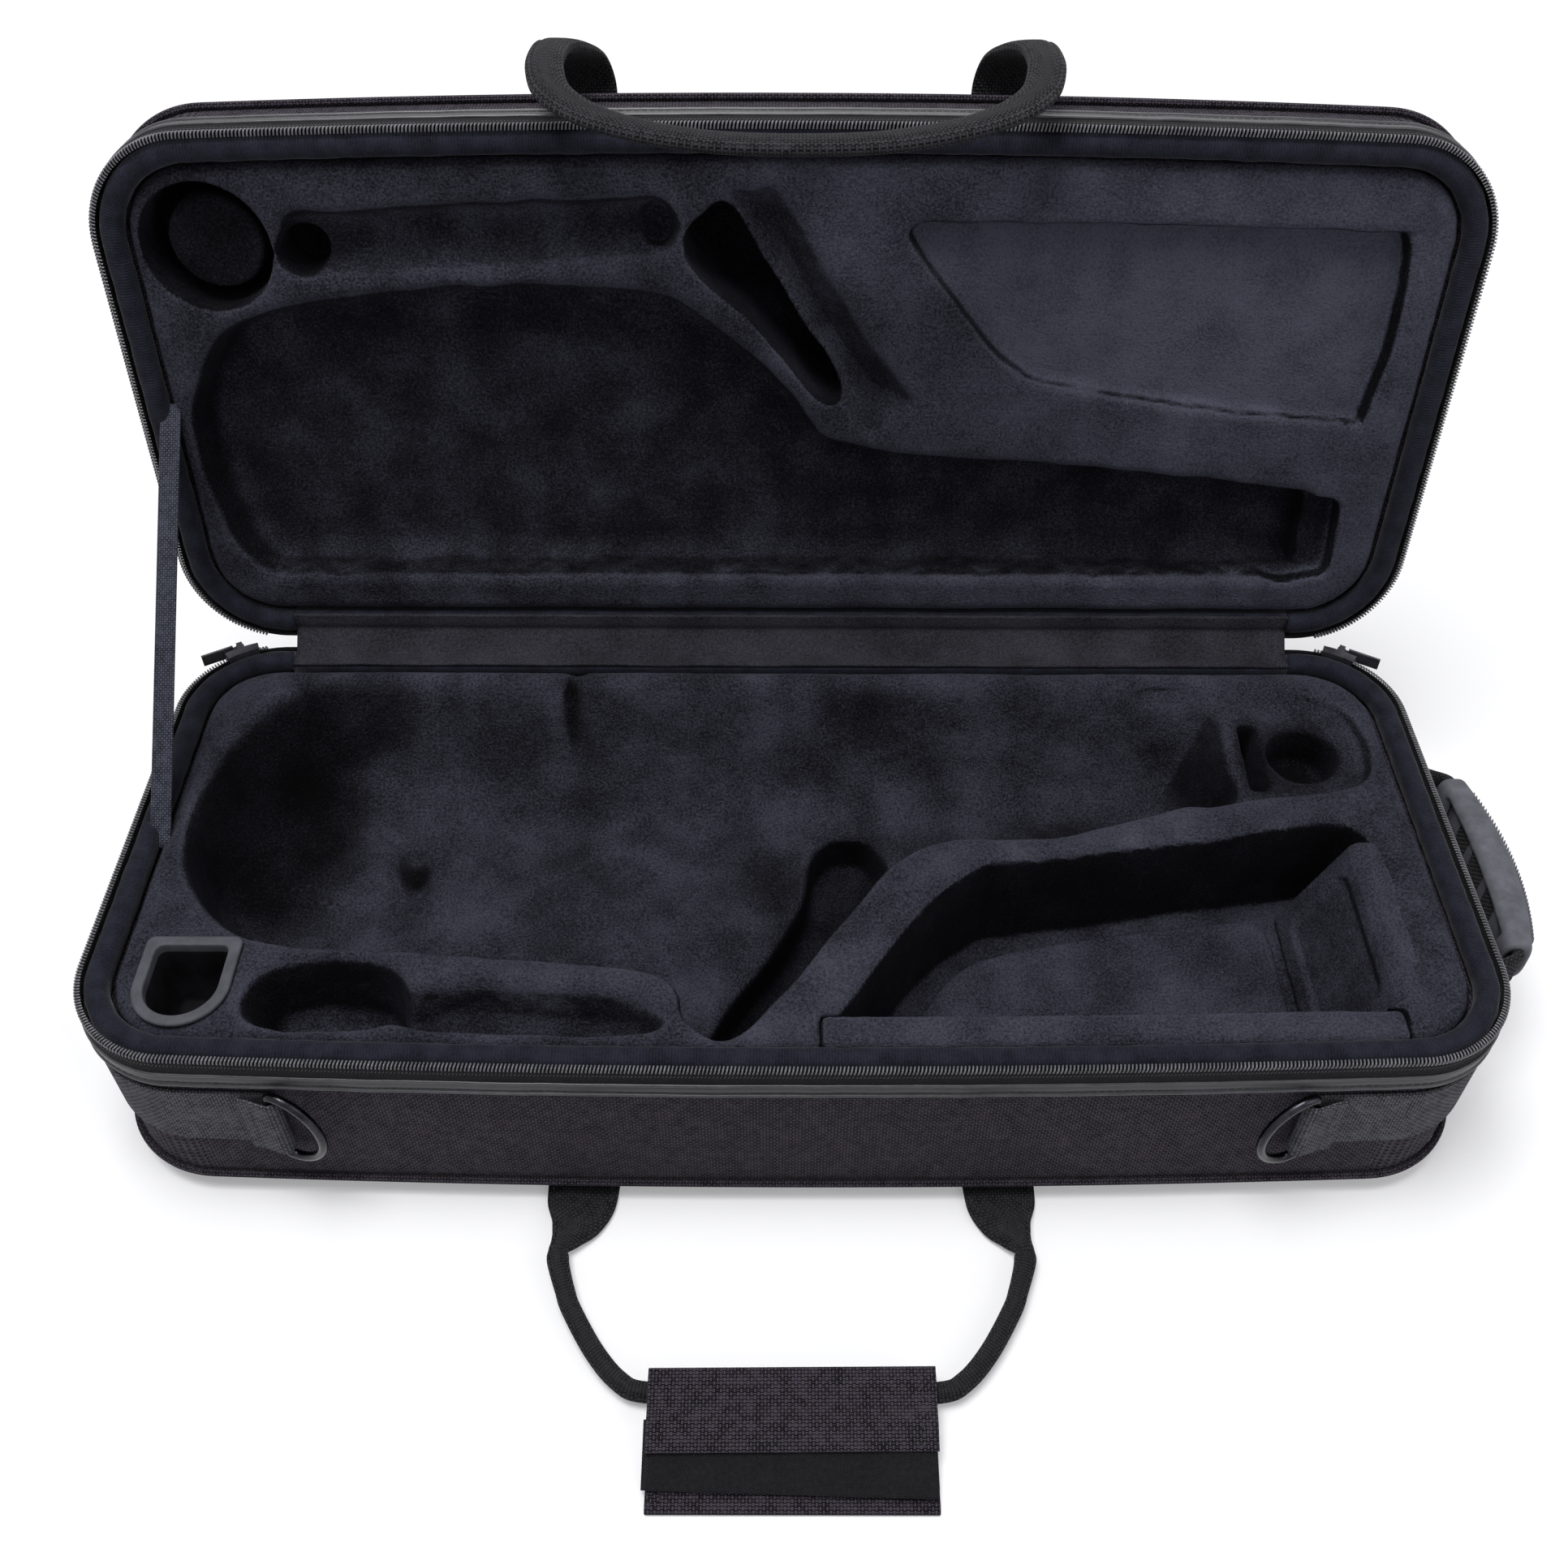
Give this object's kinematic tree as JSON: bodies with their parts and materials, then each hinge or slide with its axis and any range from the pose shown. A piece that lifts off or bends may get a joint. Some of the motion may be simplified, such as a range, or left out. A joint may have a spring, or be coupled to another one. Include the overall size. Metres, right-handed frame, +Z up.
{
  "type": "alto saxophone case",
  "caption": "Zipped rectangular alto saxophone case, open, with plush moulded inserts, a lid on a stay strap, carry handles, strap rings and an end grip.",
  "frame": {"origin": "centre of the base's flat underside", "axes": "+X along the case toward the end with the grip, +Y from the front edge to the hinge, +Z up"},
  "size_m": [0.6591, 0.498, 0.3905],
  "materials": {
    "shell_cloth": "ballistic weave, matt",
    "binding_vinyl": "grained vinyl, satin",
    "zip_tape": "woven tape, matt",
    "zip_coil": "moulded teeth, satin",
    "collar_cloth": "knitted cloth over foam",
    "insert_plush": "short pile plush over foam",
    "lining_plush": "short pile plush",
    "cup_plastic": "moulded, satin",
    "webbing": "woven webbing",
    "stay_webbing": "woven strap",
    "ring_metal": "black chrome",
    "slider_metal": "dark, semi-gloss",
    "grip_rubber": "matt",
    "hook_tape": "hook tape, matt"
  },
  "bodies": {
    "base": {"accessory_end_pad": "insert_plush", "accessory_floor_pad": "insert_plush", "accessory_front_rail": "insert_plush", "base_back_foam": "collar_cloth", "base_binding": "binding_vinyl", "base_bottom_piping": "zip_tape", "base_collar": "collar_cloth", "base_insert_accessory": "insert_plush", "base_insert_bell_left": "insert_plush", "base_insert_bell_right": "insert_plush", "base_insert_left": "insert_plush", "base_insert_neck_left": "insert_plush", "base_insert_neck_right": "insert_plush", "base_insert_socket_left": "insert_plush", "base_insert_socket_right": "insert_plush", "base_shell": "shell_cloth", "base_zip_coil": "zip_coil", "base_zip_tape": "zip_tape", "end_handle_patch": "webbing", "end_handle_strap": "webbing", "hinge_cloth": "shell_cloth", "hinge_lining": "lining_plush", "left_ring_webbing": "webbing", "mouthpiece_cup": "cup_plastic", "right_ring_webbing": "webbing", "stay_strap": "stay_webbing"},
    "lid": {"lid_back_foam": "collar_cloth", "lid_binding": "binding_vinyl", "lid_collar": "collar_cloth", "lid_edge_piping": "zip_tape", "lid_handle_anchor_left": "webbing", "lid_handle_anchor_right": "webbing", "lid_insert_left": "insert_plush", "lid_insert_middle": "insert_plush", "lid_insert_right": "insert_plush", "lid_pocket_panel": "shell_cloth", "lid_shell": "shell_cloth", "lid_zip_coil": "zip_coil", "lid_zip_tape": "zip_tape", "pocket_zip": "zip_tape"},
    "lid_handle": {"lid_handle_strap": "webbing"},
    "carry_handle": {"carry_handle_strap": "webbing", "carry_handle_wrap": "shell_cloth"},
    "carry_flap": {"carry_wrap_flap": "shell_cloth", "carry_wrap_hook_strip": "hook_tape"},
    "end_handle": {"end_handle_grip": "grip_rubber"},
    "ring_left": {"left_shoulder_ring": "ring_metal"},
    "ring_right": {"right_shoulder_ring": "ring_metal"},
    "zip_slider_left": {"zip_slider_left": "slider_metal"},
    "zip_slider_right": {"zip_slider_right": "slider_metal"},
    "zip_pull_left": {"zip_pull_left": "slider_metal"},
    "zip_pull_right": {"zip_pull_right": "slider_metal"},
    "pocket_slider_left": {"pocket_slider_left": "slider_metal"},
    "pocket_slider_right": {"pocket_slider_right": "slider_metal"},
    "pocket_pull_left": {"pocket_pull_left": "slider_metal"},
    "pocket_pull_right": {"pocket_pull_right": "slider_metal"}
  },
  "joints": [
    {"name": "lid_hinge", "type": "hinge", "parent": "base", "child": "lid", "pos_m": [0, 0.128, 0.106], "axis": [1, 0, 0], "range_deg": [0, 97.5], "deforming": ["stay_strap", "hinge_lining", "hinge_cloth"]},
    {"name": "lid_handle_swing", "type": "hinge", "parent": "lid", "child": "lid_handle", "pos_m": [0, 0.21677, 0.33437], "axis": [-1, 0, 0], "range_deg": [0, 135]},
    {"name": "carry_handle_swing", "type": "hinge", "parent": "base", "child": "carry_handle", "pos_m": [0, -0.12926, 0.0017], "axis": [-1, 0, 0], "range_deg": [0, 52]},
    {"name": "carry_flap_swing", "type": "hinge", "parent": "carry_handle", "child": "carry_flap", "pos_m": [0, -0.21866, 0.0164], "axis": [-1, 0, 0], "range_deg": [0, 45]},
    {"name": "end_handle_swing", "type": "hinge", "parent": "base", "child": "end_handle", "pos_m": [0.3089, 0.003, 0.068], "axis": [0, -1, 0], "range_deg": [0, 40], "deforming": ["end_handle_strap"]},
    {"name": "left_ring_swing", "type": "hinge", "parent": "base", "child": "ring_left", "pos_m": [-0.221, -0.13265, 0.0612], "axis": [0, 0, -1], "range_deg": [0, 120]},
    {"name": "right_ring_swing", "type": "hinge", "parent": "base", "child": "ring_right", "pos_m": [0.221, -0.13265, 0.0612], "axis": [0, 0, 1], "range_deg": [0, 120]},
    {"name": "zip_slider_left_travel", "type": "hinge", "parent": "base", "child": "zip_slider_left", "pos_m": [-0.262, 0.08, 0.106], "axis": [0, 0, 1], "range_deg": [0, 48]},
    {"name": "zip_slider_right_travel", "type": "hinge", "parent": "base", "child": "zip_slider_right", "pos_m": [0.262, 0.08, 0.106], "axis": [0, 0, -1], "range_deg": [0, 48]},
    {"name": "zip_pull_left_swing", "type": "hinge", "parent": "zip_slider_left", "child": "zip_pull_left", "pos_m": [-0.28773, 0.1253, 0.103], "axis": [0, 0, -1], "range_deg": [0, 90]},
    {"name": "zip_pull_right_swing", "type": "hinge", "parent": "zip_slider_right", "child": "zip_pull_right", "pos_m": [0.28773, 0.1253, 0.103], "axis": [0, 0, 1], "range_deg": [0, 90]},
    {"name": "pocket_slider_left_travel", "type": "slide", "parent": "lid", "child": "pocket_slider_left", "axis": [-1, 0, 0], "range_m": [0, 0.072]},
    {"name": "pocket_slider_right_travel", "type": "slide", "parent": "lid", "child": "pocket_slider_right", "axis": [1, 0, 0], "range_m": [0, 0.036]},
    {"name": "pocket_pull_left_swing", "type": "hinge", "parent": "pocket_slider_left", "child": "pocket_pull_left", "pos_m": [0.011, 0.21833, 0.3382], "axis": [0, -0.1305, -0.9914], "range_deg": [0, 90]},
    {"name": "pocket_pull_right_swing", "type": "hinge", "parent": "pocket_slider_right", "child": "pocket_pull_right", "pos_m": [0.0255, 0.21833, 0.3382], "axis": [0, 0.1305, 0.9914], "range_deg": [0, 90]}
  ]
}
